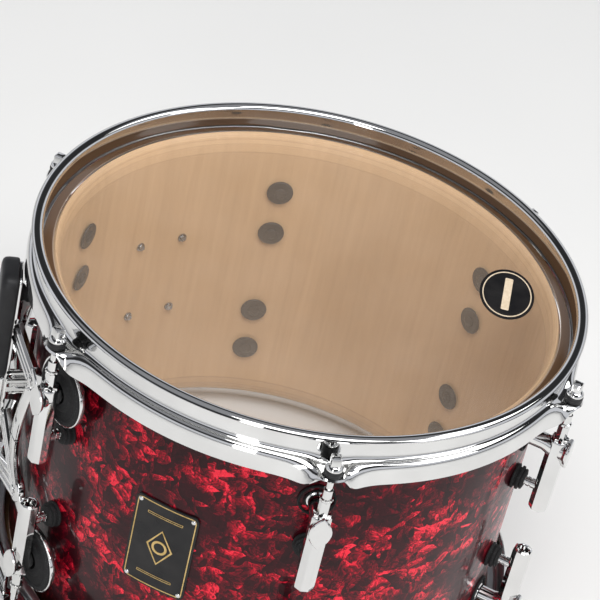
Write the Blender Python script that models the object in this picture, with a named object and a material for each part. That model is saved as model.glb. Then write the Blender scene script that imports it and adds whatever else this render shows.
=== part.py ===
"""Rack tom: a 13 by 9 inch tom-tom drum hung on an isolation mount, built piece by piece.

Metres, +Z up the drum's axis towards the batter head. The origin is the mouth of the socket that takes
the tom arm, on the drum's -Y side. Sizes below are in millimetres and are turned into metres once, in
the meshes. Heights are measured from the batter end of the shell, so they run downwards from 0.
"""

import math

import bmesh
import bpy
from mathutils import Matrix, Vector

MM = 0.001
GAP = 0.3
FACETS = 36
RING_FACETS = 16
ENDS = ("batter", "resonant")

# Shell and its covering
SHELL_DEPTH = 228.6
MIDDLE = -SHELL_DEPTH / 2
WRAP_RADIUS = 164.5
WRAP_SKIN = 0.5
SHELL_RADIUS = WRAP_RADIUS - WRAP_SKIN - GAP
SHELL_WALL = 6.2
SHELL_BORE = SHELL_RADIUS - SHELL_WALL
EDGE_RADIUS = 160.5
EDGE_DEPTH = 3.2

# Tension positions, six at each end of the shell
LUG_COUNT = 6
LUG_STEP = math.tau / LUG_COUNT
MOUNT_TURN = -math.pi / 2
ROD_RADIUS = 185.2
EAR_TOP = -7.0
METAL = 2.3
ROD_SHANK = 2.9
ROD_LENGTH = 66.0
COLLAR_HEIGHT = -2.4
COLLAR_RADIUS = 5.5
KEY_SQUARE = 6.3
WASHER_RADIUS = 5.7

# Lugs: a post near the shell's end, a pin further in, and a tube between them for the rod
POST_HEIGHT = -45.3
POST_RADIUS = 5.6
PIN_HEIGHT = -80.0
PIN_RADIUS = 3.4
SCREW_RADIUS = 2.4
SCREW_HOLE = 3.1
INNER_WASHER_RADIUS = 9.3
INNER_WASHER_FACE = 156.3
INNER_WASHER_THICK = 1.6

# Isolation mount
RING_RADIUS = 23.0
RING_BORE = 20.3
RING_LEVEL = 174.6
RING_THICK = 6.0
KNEE = Vector((50.0, -166.0, POST_HEIGHT - 24.0))
PLATE_HALF_WIDTH = 12.0
PLATE_INNER = 179.6
PLATE_THICK = 2.0
PLATE_TOP = -22.0
PLATE_BOTTOM = -206.6
BLOCK_INNER = PLATE_INNER + PLATE_THICK + GAP
SOCKET_REACH = 193.0
SOCKET_RADIUS = 6.6
SOCKET_DEPTH = 66.0
SOCKET_MOUTH = -176.0
COLUMN_TOP = -100.3
COLUMN_OUTER = 204.0
CLAMP_HEIGHT = -140.0


def material(name, colour, metallic, roughness):
    made = bpy.data.materials.new(name)
    made.use_nodes = True
    shader = made.node_tree.nodes["Principled BSDF"]
    shader.inputs["Base Color"].default_value = (*colour, 1.0)
    shader.inputs["Metallic"].default_value = metallic
    shader.inputs["Roughness"].default_value = roughness
    return made


def circle(radius, sides, height, across=0.0, along=0.0):
    """Points of a regular ring round a vertical axis at (across, along)."""
    turns = [math.tau * i / sides for i in range(sides)]
    return [Vector((across + radius * math.cos(t), along + radius * math.sin(t), height)) for t in turns]


def loft(rings):
    """A closed solid through rings of equal length, with both ends filled."""
    form = bmesh.new()
    loops = [[form.verts.new(point) for point in ring] for ring in rings]
    for low, high in zip(loops, loops[1:]):
        for i in range(len(low)):
            j = (i + 1) % len(low)
            form.faces.new((low[i], low[j], high[j], high[i]))
    form.faces.new(loops[0])
    form.faces.new(loops[-1])
    bmesh.ops.recalc_face_normals(form, faces=form.faces)
    return form


def swept(sections):
    """A closed solid through sections that come round to the first one again."""
    form = bmesh.new()
    loops = [[form.verts.new(point) for point in section] for section in sections]
    for here, there in zip(loops, loops[1:] + loops[:1]):
        for i in range(len(here)):
            j = (i + 1) % len(here)
            form.faces.new((here[i], there[i], there[j], here[j]))
    bmesh.ops.remove_doubles(form, verts=form.verts, dist=1e-4)
    bmesh.ops.recalc_face_normals(form, faces=form.faces)
    return form


def turned(outline, facets=FACETS):
    """A closed outline of (radius, height) points turned once round the vertical axis."""
    sections = []
    for step in range(facets):
        turn = math.tau * step / facets
        sections.append([Vector((r * math.cos(turn), r * math.sin(turn), z)) for r, z in outline])
    return swept(sections)


def box(low, high):
    corners = [(low[0], low[1]), (high[0], low[1]), (high[0], high[1]), (low[0], high[1])]
    return loft([[Vector((x, y, z)) for x, y in corners] for z in (low[2], high[2])])


def moved(form, matrix):
    form.transform(matrix)
    return form


def along_x(radius, sides, start, end, height):
    """A round bar along X, at one height."""
    bar = loft([circle(radius, sides, start), circle(radius, sides, end)])
    return moved(bar, Matrix.Translation((0, 0, height)) @ Matrix.Rotation(math.pi / 2, 4, "Y"))


def mesh_of(name, form):
    """The form as a mesh in metres, shaded smooth with its edges kept."""
    data = bpy.data.meshes.new(name)
    form.transform(Matrix.Scale(MM, 4))
    form.to_mesh(data)
    form.free()
    data.shade_smooth()
    data.set_sharp_from_angle(angle=math.radians(35))
    return data


def combined(name, forms, cuts=()):
    """One mesh: the union of the forms, less the cuts."""
    tools = [(form, "UNION") for form in forms[1:]] + [(cut, "DIFFERENCE") for cut in cuts]
    base = bpy.data.objects.new(name, mesh_of(name, forms[0]))
    bpy.context.collection.objects.link(base)
    helpers = []
    for form, operation in tools:
        helper = bpy.data.objects.new(name + "_tool", mesh_of(name + "_tool", form))
        bpy.context.collection.objects.link(helper)
        helpers.append(helper)
        modifier = base.modifiers.new(operation.lower(), "BOOLEAN")
        modifier.operation = operation
        modifier.object = helper
    bpy.context.view_layer.update()
    graph = bpy.context.evaluated_depsgraph_get()
    data = bpy.data.meshes.new_from_object(base.evaluated_get(graph))
    data.name = name
    for used in [base, *helpers]:
        bpy.data.objects.remove(used)
    return data


def place(name, data, surface, parent, matrix=None):
    """A named piece on its parent. The matrix is in millimetres, as the meshes' sizes are."""
    if not data.materials:
        data.materials.append(surface)
    obj = bpy.data.objects.new(name, data)
    bpy.context.collection.objects.link(obj)
    obj.parent = parent
    spot = matrix or Matrix()
    obj.location = spot.to_translation() * MM
    obj.rotation_euler = spot.to_euler()
    return obj


def position(end, index):
    """The frame of one tension position: x points away from the drum's axis, z out of that end."""
    turn = MOUNT_TURN + LUG_STEP * (index + 0.5)
    if end == "batter":
        return Matrix.Rotation(turn, 4, "Z")
    flip = Matrix.Rotation(math.pi, 4, "X")
    return Matrix.Translation((0, 0, -SHELL_DEPTH)) @ Matrix.Rotation(turn, 4, "Z") @ flip


def shell_holes(radius):
    """Cutters for the holes of all lug screws, as bars that cross the wall."""
    bars = []
    for end in ENDS:
        for index in range(LUG_COUNT):
            for height in (POST_HEIGHT, PIN_HEIGHT):
                bar = along_x(radius, 6, SHELL_BORE - 6, WRAP_RADIUS + 3, height)
                bars.append(moved(bar, position(end, index)))
    joined = bmesh.new()
    for bar in bars:
        piece = bpy.data.meshes.new("hole")
        bar.to_mesh(piece)
        bar.free()
        joined.from_mesh(piece)
        bpy.data.meshes.remove(piece)
    return joined


def shell():
    """Wooden shell, with a double 45 degree bearing edge at both ends."""
    inner_edge = EDGE_RADIUS - SHELL_BORE
    outline = [
        (SHELL_BORE, -inner_edge),
        (EDGE_RADIUS, 0),
        (SHELL_RADIUS, -EDGE_DEPTH),
        (SHELL_RADIUS, EDGE_DEPTH - SHELL_DEPTH),
        (EDGE_RADIUS, -SHELL_DEPTH),
        (SHELL_BORE, inner_edge - SHELL_DEPTH),
    ]
    return combined("shell", [turned(outline)], [shell_holes(SCREW_HOLE)])


def shell_wrap():
    """Thin covering round the shell, short of the bearing edges."""
    inner = WRAP_RADIUS - WRAP_SKIN
    top = -EDGE_DEPTH - GAP
    bottom = EDGE_DEPTH + GAP - SHELL_DEPTH
    outline = [(inner, top), (WRAP_RADIUS, top), (WRAP_RADIUS, bottom), (inner, bottom)]
    return combined("shell_wrap", [turned(outline)], [shell_holes(SCREW_HOLE)])


def head_film():
    """Drumhead film: flat over the shell, then down past the bearing edge to the flesh hoop."""
    skin = 0.3
    edge = EDGE_RADIUS + 0.6
    outline = [
        (0.0, GAP),
        (edge, GAP),
        (edge + 6.2, GAP - 5.7),
        (edge + 6.6, GAP - 5.5),
        (edge + 0.2, GAP + skin),
        (0.0, GAP + skin),
    ]
    return mesh_of("head_film", turned(outline))


def flesh_hoop():
    """Aluminium ring that holds the film's edge."""
    outline = [(168.2, -3.9), (172.0, -3.9), (173.6, -5.8), (173.6, -9.8), (168.2, -9.8)]
    return mesh_of("flesh_hoop", turned(outline))


def hoop_outline(ear):
    """Section of the pressed hoop. ear runs from 0, where the skirt hangs, to 1, where it is bent out
    flat as an ear for a tension rod."""
    hanging = [(177.7, -8.0), (179.6, -19.4), (177.4, -19.4), (175.3, -9.0)]
    ear_base = EAR_TOP - METAL
    flat = [(178.6, EAR_TOP), (194.0, EAR_TOP), (194.0, ear_base), (175.8, ear_base)]
    skirt = [
        (a[0] + ear * (b[0] - a[0]), a[1] + ear * (b[1] - a[1])) for a, b in zip(hanging, flat)
    ]
    lip = [(173.4, 13.6), (177.4, 13.6), (179.3, 11.2), (173.6, 8.6)]
    outer_wall = [(173.6, 0.6), (178.0, -3.6)]
    inner_wall = [(175.3, -4.8), (171.2, -0.8), (171.2, 12.6)]
    return lip + outer_wall + skirt + inner_wall


def hoop():
    """Triple-flanged hoop: rolled lip, wall, bead, and a skirt with six ears bent out of it."""
    half_sector = [(0.0, 1.0), (4.0, 1.0), (5.8, 0.5), (8.0, 0.0), (19.0, 0.0), (30.0, 0.0)]
    mirrored = [(60.0 - turn, ear) for turn, ear in reversed(half_sector[1:-1])]
    sections = []
    for index in range(LUG_COUNT):
        for offset, ear in half_sector + mirrored:
            turn = LUG_STEP * index + math.radians(offset)
            sections.append(
                [Vector((r * math.cos(turn), r * math.sin(turn), z)) for r, z in hoop_outline(ear)]
            )
    hole = SCREW_HOLE + 0.5
    half_side = Matrix.Rotation(math.pi / 12, 4, "Z")
    drills = []
    for index in range(LUG_COUNT):
        drill = moved(loft([circle(hole, 12, -13), circle(hole, 12, -4)]), half_side)
        at = Matrix.Rotation(LUG_STEP * index, 4, "Z") @ Matrix.Translation((ROD_RADIUS, 0, 0))
        drills.append(moved(drill, at))
    pressing = swept(sections)
    bmesh.ops.triangulate(pressing, faces=pressing.faces)
    return combined("hoop", [pressing], drills)


def lug():
    """Tube lug with its two posts, the screws that hold it and their washers inside the shell.
    Its origin is on the rod's axis, level with the end of the shell."""
    seat = WRAP_RADIUS + GAP - ROD_RADIUS
    washer_near = INNER_WASHER_FACE - ROD_RADIUS
    washer_far = washer_near - INNER_WASHER_THICK
    tube = loft([circle(r, 8, z) for r, z in ((4.6, -96.0), (6.5, -93.0), (6.5, -36.0), (5.0, -34.0))])
    tube = moved(tube, Matrix.Rotation(math.pi / 8, 4, "Z"))
    neck = loft([circle(4.5, 7, z) for z in (-40.0, -17.5)])
    half_cap = [(0.0, -31.8), (5.4, -36.5), (7.6, -45.3), (5.4, -54.1), (0.0, -58.8)]
    cap_outline = half_cap + [(-y, z) for y, z in reversed(half_cap[1:-1])]
    cap = loft(
        [
            [Vector((x, y * scale, POST_HEIGHT + (z - POST_HEIGHT) * scale)) for y, z in cap_outline]
            for x, scale in ((-4.7, 0.8), (-2.9, 1.0), (9.0, 1.0), (11.6, 0.8))
        ]
    )
    forms = [tube, neck, cap]
    for height, radius in ((POST_HEIGHT, POST_RADIUS), (PIN_HEIGHT, PIN_RADIUS)):
        forms.append(along_x(radius, 7, seat, -3.7, height))
        forms.append(along_x(SCREW_RADIUS, 5, washer_far - 2.2, seat + 2.0, height))
        forms.append(along_x(INNER_WASHER_RADIUS, 8, washer_far, washer_near, height))
    bore = loft([circle(SCREW_HOLE + 0.5, 8, z) for z in (-98.0, -15.0)])
    return combined("lug", forms, [bore])


def tension_rod():
    """Square-headed tension rod, with its origin under the collar."""
    half = KEY_SQUARE / 2
    key_top = 9.2
    corner = half * math.sqrt(2)
    key = loft(
        [
            circle(corner * scale, 4, z)
            for scale, z in ((1.0, 1.0), (1.0, key_top - 1.2), (0.7, key_top))
        ]
    )
    collar = loft([circle(r, 9, z) for r, z in ((COLLAR_RADIUS, 0.0), (COLLAR_RADIUS, 1.9))])
    shank = loft([circle(ROD_SHANK, 6, z) for z in (-ROD_LENGTH, 1.0)])
    return combined("tension_rod", [collar, key, shank])


def rod_washer():
    """Black washer between a rod's collar and the hoop's ear, with its origin on its upper face."""
    bore = SCREW_HOLE + 0.3
    thick = COLLAR_HEIGHT - EAR_TOP - 2 * GAP
    outline = [(bore, 0.0), (WASHER_RADIUS, 0.0), (WASHER_RADIUS, -thick), (bore, -thick)]
    return mesh_of("rod_washer", turned(outline, 8))


def badge():
    """Curved plate on the shell, half a step round from a lug, with its corners cut."""
    half_turn = math.radians(7.6)
    half_height = 34.0
    corner = 3.0
    inner = WRAP_RADIUS + GAP + 0.1
    sections = []
    for step in range(-2, 3):
        turn = half_turn * step / 2
        reach = half_height - (corner if abs(step) == 2 else 0.0)
        ring = [(inner, -reach), (inner + 1.2, -reach), (inner + 1.2, reach), (inner, reach)]
        sections.append([Vector((r * math.cos(turn), r * math.sin(turn), z)) for r, z in ring])
    return mesh_of("badge", loft(sections))


def ribbed_bar(start, end, outward):
    """A cast arm from start to end, with three ridges along its outer face."""
    along = (end - start).normalized()
    across = along.cross(outward).normalized()
    out = across.cross(along).normalized()
    half = 7.0
    section = [(half, -2.5), (half, 1.0)]
    for centre in (4.7, 0.0, -4.7):
        section += [(centre + 1.8, 1.0), (centre, 3.0), (centre - 1.8, 1.0)]
    section += [(-half, 1.0), (-half, -2.5)]
    return loft([[spot + across * a + out * o for a, o in section] for spot in (start, end)])


def strap(points, outward, half_width, thick):
    """A flat strap through points, facing outward."""
    rings = []
    for i, point in enumerate(points):
        before = points[max(i - 1, 0)]
        after = points[min(i + 1, len(points) - 1)]
        along = (after - before).normalized()
        across = along.cross(outward).normalized() * half_width
        out = across.cross(along).normalized() * thick / 2
        rings.append([point - across - out, point + across - out, point + across + out, point - across + out])
    return loft(rings)


def mount_arm(side, level):
    """One corner of the mount: a ring for a lug's isolator, a knee, a ribbed arm and a ribbed brace to
    the plate, and half of the strap that joins the upper and lower knees."""

    def spot(x, y, height):
        return Vector((side * x, y, MIDDLE + level * (height - MIDDLE)))

    turn = MOUNT_TURN + side * LUG_STEP / 2
    ring_out = Vector((math.cos(turn), math.sin(turn), 0.0))
    ring_at = ring_out * RING_LEVEL + spot(0, 0, POST_HEIGHT)
    half = RING_THICK / 2
    outline = [(RING_BORE, -half), (RING_RADIUS, -half), (RING_RADIUS, half), (RING_BORE, half)]
    tilt = Matrix.Rotation(turn, 4, "Z") @ Matrix.Rotation(math.pi / 2, 4, "Y")
    ring = moved(turned(outline, RING_FACETS), Matrix.Translation(ring_at) @ tilt)
    knee_at = spot(*KNEE)
    knee_out = Vector((knee_at.x, knee_at.y, 0.0)).normalized()
    facing = knee_out.to_track_quat("Z", "Y").to_matrix().to_4x4()
    knee = moved(loft([circle(9.0, 9, -2.9), circle(9.0, 9, 2.3)]), Matrix.Translation(knee_at) @ facing)
    towards = (ring_at - knee_at).normalized()
    neck = strap([knee_at, ring_at - towards * (RING_RADIUS - 1.3)], knee_out, 6.0, 4.4)
    hub_out = Vector((0, -1, 0))
    inner_end = PLATE_HALF_WIDTH - 6.0
    arm_end = 1.3 - PLATE_INNER
    arm = ribbed_bar(knee_at, spot(inner_end, arm_end, -61.0), (knee_out + hub_out).normalized())
    brace = ribbed_bar(knee_at, spot(inner_end, arm_end, -107.0), (knee_out + hub_out).normalized())
    bow = []
    for step in range(3):
        share = step / 2
        height = KNEE.z + share * (MIDDLE + 1.5 * GAP - KNEE.z)
        bulge = 1.0 + 0.04 * math.sin(share * math.pi / 2)
        bow.append(spot(KNEE.x * bulge, KNEE.y * bulge, height))
    side_bow = strap(bow, knee_out, 4.5, 3.6)
    clearance = PLATE_HALF_WIDTH + GAP
    trim = box((-clearance, -PLATE_INNER - 20, -SHELL_DEPTH), (clearance, -WRAP_RADIUS, 0))
    beyond = sorted((MIDDLE + level * GAP, MIDDLE - level * 40.0))
    far_half = box((-ROD_RADIUS, -COLUMN_OUTER, beyond[0]), (ROD_RADIUS, 0, beyond[1]))
    return combined("mount_arm", [knee, ring, neck, arm, brace, side_bow], [trim, far_half])


def isolator():
    """Rubber disc between a lug's post and its ring, round the x axis."""
    hole = POST_RADIUS + 0.5
    rim = RING_BORE - GAP
    half = RING_THICK / 2 + 0.2
    outline = [(hole, -half), (rim, -half), (rim, half), (hole, half)]
    disc = turned(outline, RING_FACETS)
    return mesh_of("isolator", moved(disc, Matrix.Rotation(math.pi / 2, 4, "Y")))


def stadium(half_width, low, high, corner, depth):
    """A slab in the XZ plane with its four corners rounded, depth thick towards -Y from y = 0."""
    outline = []
    for cx, cz, start in (
        (half_width - corner, high - corner, 0.0),
        (corner - half_width, high - corner, 90.0),
        (corner - half_width, low + corner, 180.0),
        (half_width - corner, low + corner, 270.0),
    ):
        for step in range(4):
            turn = math.radians(start + 30.0 * step)
            outline.append((cx + corner * math.cos(turn), cz + corner * math.sin(turn)))
    return loft([[Vector((x, y, z)) for x, z in outline] for y in (-depth, 0.0)])


def mount_plate():
    """Steel backbone that the four arms butt against."""
    plate = stadium(PLATE_HALF_WIDTH, PLATE_BOTTOM, PLATE_TOP, 4.0, PLATE_THICK)
    return mesh_of("mount_plate", moved(plate, Matrix.Translation((0, -PLATE_INNER, 0))))


def mount_pad():
    """Black pad over the upper half of the plate, with rounded ends."""
    pad = stadium(16.0, COLUMN_TOP + GAP, -20.0, 8.0, 11.2)
    return mesh_of("mount_pad", moved(pad, Matrix.Translation((0, -BLOCK_INNER, 0))))


def mount_bumper():
    """Rubber block that keeps the plate off the shell just below the hoop."""
    low = (-4.5, -PLATE_INNER + GAP, -44.0)
    high = (4.5, -WRAP_RADIUS - 2.0, -34.0)
    return mesh_of("mount_bumper", box(low, high))


def clamp_column():
    """Column on the plate with a blind socket up from its lower end, and a cross hole for the screw."""
    depth = COLUMN_OUTER - BLOCK_INNER
    body = moved(
        stadium(11.5, SOCKET_MOUTH, COLUMN_TOP, 4.0, depth), Matrix.Translation((0, -BLOCK_INNER, 0))
    )
    socket_top = SOCKET_MOUTH + SOCKET_DEPTH
    socket = loft([circle(SOCKET_RADIUS, 16, z, 0, -SOCKET_REACH) for z in (SOCKET_MOUTH - 5, socket_top)])
    cross = along_x(SCREW_HOLE + 0.3, 12, SOCKET_REACH, COLUMN_OUTER + 4, CLAMP_HEIGHT)
    return combined("clamp_column", [body], [socket, moved(cross, Matrix.Rotation(MOUNT_TURN, 4, "Z"))])


def clamp_washer():
    """Washer under the wing screw, round the z axis, with its origin on its outer face."""
    bore = SCREW_HOLE + 0.3
    outline = [(bore, 0.0), (7.0, 0.0), (7.0, -1.6), (bore, -1.6)]
    return mesh_of("clamp_washer", turned(outline, 12))


def wing_screw():
    """Wing screw round the z axis, with its origin under its hub."""
    reach = COLUMN_OUTER + GAP + 1.6 + GAP - (SOCKET_REACH + SOCKET_RADIUS) - 0.6
    hub = loft([circle(r, 12, z) for r, z in ((6.0, 0.0), (6.0, 7.0), (4.4, 9.0))])
    shank = loft([circle(ROD_SHANK, 6, z) for z in (-reach, 1.0)])
    wing_outline = [(3.0, 1.5), (12.0, 3.0), (19.0, 9.0), (19.0, 16.0), (13.0, 16.0), (7.0, 9.0), (3.0, 7.0)]
    wings = []
    for side in (1, -1):
        wings.append(loft([[Vector((side * x, y, z)) for x, z in wing_outline] for y in (-1.8, 1.8)]))
    return combined("wing_screw", [hub, shank, *wings])



def build():
    for obj in list(bpy.data.objects):
        bpy.data.objects.remove(obj)
    chrome = material("chrome", (0.82, 0.83, 0.85), 1.0, 0.08)
    aluminium = material("aluminium", (0.62, 0.63, 0.64), 1.0, 0.35)
    wood = material("wood", (0.62, 0.42, 0.24), 0.0, 0.45)
    pearl = material("red_pearl", (0.36, 0.02, 0.03), 0.2, 0.15)
    film = material("film", (0.80, 0.72, 0.62), 0.0, 0.20)
    black = material("black_plastic", (0.02, 0.02, 0.022), 0.0, 0.35)
    rubber = material("rubber", (0.025, 0.025, 0.025), 0.0, 0.70)

    drum = bpy.data.objects.new("drum_axis", None)
    drum.location = Vector((0, SOCKET_REACH, -SOCKET_MOUTH)) * MM
    bpy.context.collection.objects.link(drum)

    place("shell", shell(), wood, drum)
    place("shell_wrap", shell_wrap(), pearl, drum)

    ring, skin, rim = flesh_hoop(), head_film(), hoop()
    post, rod, washer = lug(), tension_rod(), rod_washer()
    for end in ENDS:
        flip = Matrix() if end == "batter" else Matrix.Rotation(math.pi, 4, "X")
        level = Matrix.Translation((0, 0, 0 if end == "batter" else -SHELL_DEPTH)) @ flip
        place(end + "_head_film", skin, film, drum, level)
        place(end + "_flesh_hoop", ring, aluminium, drum, level)
        place(end + "_hoop", rim, chrome, drum, level)
        for index in range(LUG_COUNT):
            name = f"_{end}_{index + 1}"
            frame = position(end, index) @ Matrix.Translation((ROD_RADIUS, 0, 0))
            place("lug" + name, post, chrome, drum, frame)
            seat = Matrix.Translation((0, 0, COLLAR_HEIGHT))
            place("tension_rod" + name, rod, chrome, drum, frame @ seat)
            under = Matrix.Translation((0, 0, COLLAR_HEIGHT - GAP))
            place("rod_washer" + name, washer, black, drum, frame @ under)

    plaque = badge()
    for index, name in ((1, "badge_right"), (-1, "badge_left")):
        turn = Matrix.Rotation(MOUNT_TURN + LUG_STEP * index, 4, "Z")
        place(name, plaque, black, drum, Matrix.Translation((0, 0, MIDDLE)) @ turn)

    disc = isolator()
    for level, high in ((1, "upper"), (-1, "lower")):
        for side, hand in ((1, "right"), (-1, "left")):
            place(f"mount_arm_{high}_{hand}", mount_arm(side, level), chrome, drum)
            turn = Matrix.Rotation(MOUNT_TURN + side * LUG_STEP / 2, 4, "Z")
            height = MIDDLE + level * (POST_HEIGHT - MIDDLE)
            spot = turn @ Matrix.Translation((RING_LEVEL, 0, height))
            place(f"isolator_{high}_{hand}", disc, rubber, drum, spot)

    place("mount_plate", mount_plate(), chrome, drum)
    place("mount_pad", mount_pad(), black, drum)
    place("mount_bumper", mount_bumper(), rubber, drum)
    place("clamp_column", clamp_column(), chrome, drum)
    outward = Matrix.Rotation(math.pi / 2, 4, "X")
    washer_face = COLUMN_OUTER + GAP + 1.6
    washer_at = Matrix.Translation((0, -washer_face, CLAMP_HEIGHT)) @ outward
    place("clamp_washer", clamp_washer(), chrome, drum, washer_at)
    screw_at = Matrix.Translation((0, -washer_face - GAP, CLAMP_HEIGHT)) @ outward
    place("wing_screw", wing_screw(), chrome, drum, screw_at)


build()
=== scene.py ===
"""Looks of the rack tom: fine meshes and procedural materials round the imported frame.

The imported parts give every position. Shapes below are in millimetres in the drum's own frame: the origin
is on the drum's axis, level with the batter end of the shell, and heights run downwards from 0.
"""

import math

import bmesh
import bpy
from mathutils import Matrix, Quaternion, Vector


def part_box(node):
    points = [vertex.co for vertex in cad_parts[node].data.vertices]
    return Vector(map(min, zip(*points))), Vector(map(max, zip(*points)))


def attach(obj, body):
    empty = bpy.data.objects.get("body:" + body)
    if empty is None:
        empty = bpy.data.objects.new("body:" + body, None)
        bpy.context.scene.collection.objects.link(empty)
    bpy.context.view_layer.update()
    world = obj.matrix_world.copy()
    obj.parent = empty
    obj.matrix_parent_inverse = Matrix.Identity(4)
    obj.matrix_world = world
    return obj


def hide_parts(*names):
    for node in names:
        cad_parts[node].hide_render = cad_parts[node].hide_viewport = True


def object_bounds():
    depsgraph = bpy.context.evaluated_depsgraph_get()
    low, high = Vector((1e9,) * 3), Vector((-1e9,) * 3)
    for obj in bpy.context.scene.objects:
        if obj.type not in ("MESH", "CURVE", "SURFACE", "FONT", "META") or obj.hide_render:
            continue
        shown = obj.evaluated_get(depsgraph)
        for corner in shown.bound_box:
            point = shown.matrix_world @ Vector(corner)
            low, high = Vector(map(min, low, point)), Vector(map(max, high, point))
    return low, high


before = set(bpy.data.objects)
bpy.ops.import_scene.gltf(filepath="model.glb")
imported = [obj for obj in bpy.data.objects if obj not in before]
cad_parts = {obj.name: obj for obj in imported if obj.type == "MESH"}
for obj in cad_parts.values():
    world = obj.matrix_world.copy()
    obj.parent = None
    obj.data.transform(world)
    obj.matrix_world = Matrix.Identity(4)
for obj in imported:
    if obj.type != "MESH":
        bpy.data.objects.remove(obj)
cad_low, cad_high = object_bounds()

MM = 0.001
ENDS = ("batter", "resonant")
LUG_COUNT = 6


def middle_of(node):
    low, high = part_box(node)
    return (low + high) / 2


def size_of(node):
    low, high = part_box(node)
    return (high - low) / MM


def reach_of(node, end):
    """How far one end of a node's box (0 low, 1 high) lies from the drum's axis on the mount's side."""
    return (DRUM.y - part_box(node)[end].y) / MM


# Shell, covering and heads
DRUM = Vector((middle_of("shell").x, middle_of("shell").y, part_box("shell")[1].z))
DEPTH = size_of("shell").z
HALF = -DEPTH / 2
WRAP_RADIUS = size_of("shell_wrap").x / 2
WRAP = 0.5
SKIN_RADIUS = WRAP_RADIUS - WRAP
SHELL_WALL = 6.2
BORE = size_of("shell").x / 2 - SHELL_WALL
EDGE_RADIUS = BORE + 4.6
FILM_TOP = 0.55
HEAD_MARK = Vector((-1.0, 130.0, 0.0))
HEAD_MARK_TURN = math.radians(-14)

# Hoops, rods and lugs: heights below the shell's end, and x from the rod's axis in a lug's own frame
METAL = 2.3
EAR_UNDER = -9.3
ROD_RADIUS = (middle_of("rod_washer_batter_2") - DRUM).xy.length / MM
COLLAR = (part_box("rod_washer_batter_2")[1].z - DRUM.z) / MM + 0.3
KEY_HALF = 3.15
PITCH = 1.0
POST = -45.3
PIN = -80.0
PIN_BAR = 3.3
SEAT = WRAP_RADIUS + 0.3 - ROD_RADIUS
INNER_FACE = BORE - 1.2 - ROD_RADIUS

# Badges: half their width and height, the places of their fixings, and how proud their faces stand
BADGE = (21.5, 34.0)
BADGE_FIXINGS = (18.0, 30.4)
BADGE_FACE = 1.4

# Mount: distances from the drum's axis on the mount's side
RING_LEVEL = 174.6
RING_RADIUS = 23.0
RING_INNER = 21.6
PLATE_HALF = size_of("mount_plate").x / 2
PLATE_FACE = reach_of("mount_plate", 1)
PLATE_OUT = reach_of("mount_plate", 0)
COLUMN_FACE = reach_of("clamp_column", 1)
COLUMN_OUT = reach_of("clamp_column", 0)
SOCKET_REACH = DRUM.y / MM
SOCKET_RADIUS = 6.6
SOCKET_DEPTH = 66.0
SCREW_LEVEL = (middle_of("clamp_washer").z - DRUM.z) / MM


# ---------------------------------------------------------------- forms: (points, faces) in millimetres


def trimmed(corner, other, radius):
    """The point radius away from a corner on its way to the next one, or a little short of half way."""
    span = math.dist(corner, other)
    share = min(radius, 0.45 * span) / span
    return [c + (o - c) * share for c, o in zip(corner, other)]


def rounded(outline, radius, steps=3, closed=True):
    """The outline with its corners rounded."""
    made = []
    for i, corner in enumerate(outline):
        if not closed and i in (0, len(outline) - 1):
            made.append(tuple(corner))
            continue
        start = trimmed(corner, outline[i - 1], radius)
        end = trimmed(corner, outline[(i + 1) % len(outline)], radius)
        for step in range(steps + 1):
            t = step / steps
            spots = zip(start, corner, end)
            made.append(tuple((1 - t) ** 2 * a + 2 * t * (1 - t) * c + t * t * b for a, c, b in spots))
    return made


def net(sections, around=True, caps=False):
    """Faces through closed sections of equal length, coming round to the first again or capped."""
    width = len(sections[0])
    points = [Vector(point) for section in sections for point in section]
    faces = []
    count = len(sections)
    for here in range(count if around else count - 1):
        there = (here + 1) % count
        for i in range(width):
            j = (i + 1) % width
            faces.append((here * width + i, there * width + i, there * width + j, here * width + j))
    if caps:
        faces.append(tuple(range(width)))
        faces.append(tuple(range((count - 1) * width, count * width)))
    return points, faces


def turned(outline, segments=96):
    """A closed outline of (radius, height) turned round the vertical axis."""
    sections = []
    for step in range(segments):
        c, s = math.cos(math.tau * step / segments), math.sin(math.tau * step / segments)
        sections.append([(r * c, r * s, z) for r, z in outline])
    return net(sections)


def lofted(sections):
    return net(sections, around=False, caps=True)


def ring(radius, sides, height, phase=0.0):
    turns = [phase + math.tau * i / sides for i in range(sides)]
    return [(radius * math.cos(t), radius * math.sin(t), height) for t in turns]


def prism(outline, low, high, edge, steps=2):
    """A slab over an outline in the XY plane, from low to high, with both rims rounded over by edge."""
    cx = sum(p[0] for p in outline) / len(outline)
    cy = sum(p[1] for p in outline) / len(outline)
    reach = max(math.hypot(p[0] - cx, p[1] - cy) for p in outline)
    sections = []
    for at, sign in ((low, 1), (high, -1)):
        rows = []
        for step in range(steps + 1):
            turn = math.pi / 2 * step / steps
            inset, rise = edge * (1 - math.sin(turn)), edge * (1 - math.cos(turn))
            share, height = 1 - inset / reach, at + sign * rise
            rows.append([(cx + (x - cx) * share, cy + (y - cy) * share, height) for x, y in outline])
        sections += rows if sign == 1 else rows[::-1]
    return lofted(sections)


def moved(form, matrix):
    return [matrix @ point for point in form[0]], form[1]


def joined(*forms):
    points, faces = [], []
    for some, sides in forms:
        start = len(points)
        points += some
        faces += [tuple(i + start for i in side) for side in sides]
    return points, faces


def along_x(form):
    """A form built round the vertical axis, laid along X."""
    return moved(form, Matrix.Rotation(math.pi / 2, 4, "Y"))


def bar(radii, sides=32):
    """A round bar through (radius, height) pairs, laid along X."""
    return along_x(lofted([ring(r, sides, x) for r, x in radii]))


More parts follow.
